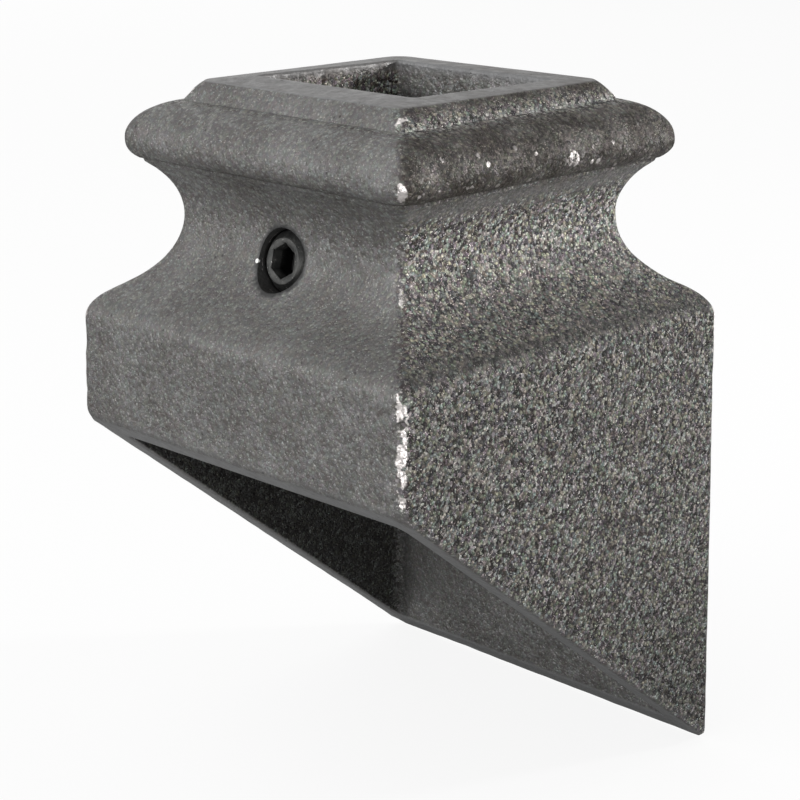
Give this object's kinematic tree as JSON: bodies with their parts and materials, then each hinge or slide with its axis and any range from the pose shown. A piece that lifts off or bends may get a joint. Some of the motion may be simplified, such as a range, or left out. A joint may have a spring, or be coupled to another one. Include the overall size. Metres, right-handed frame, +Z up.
{
  "type": "raked baluster shoe",
  "caption": "Cast-iron shoe for a square iron stair baluster: moulded square neck with a through socket and a set screw, over a hollow plinth cut off at the stair's rake.",
  "frame": {"origin": "on the socket's axis, level with the lowest edge, which is the foot of the tall wall", "axes": "+Z up the baluster, +X towards the tall (downhill) wall, -X towards the short (uphill) wall that holds the set screw, +Y across the stair"},
  "size_m": [0.0315, 0.0318, 0.048],
  "materials": {
    "cast_iron": "as cast, sandy dark grey, with worn bright edges",
    "black_steel": "black oxide"
  },
  "bodies": {
    "shoe": {"shoe_casting": "cast_iron"},
    "screw": {"set_screw": "black_steel"}
  },
  "joints": [
    {"name": "screw_travel", "type": "slide", "parent": "shoe", "child": "screw", "axis": [0.9763, 0, -0.2164], "range_m": [-0.00238, 0.00095]}
  ]
}
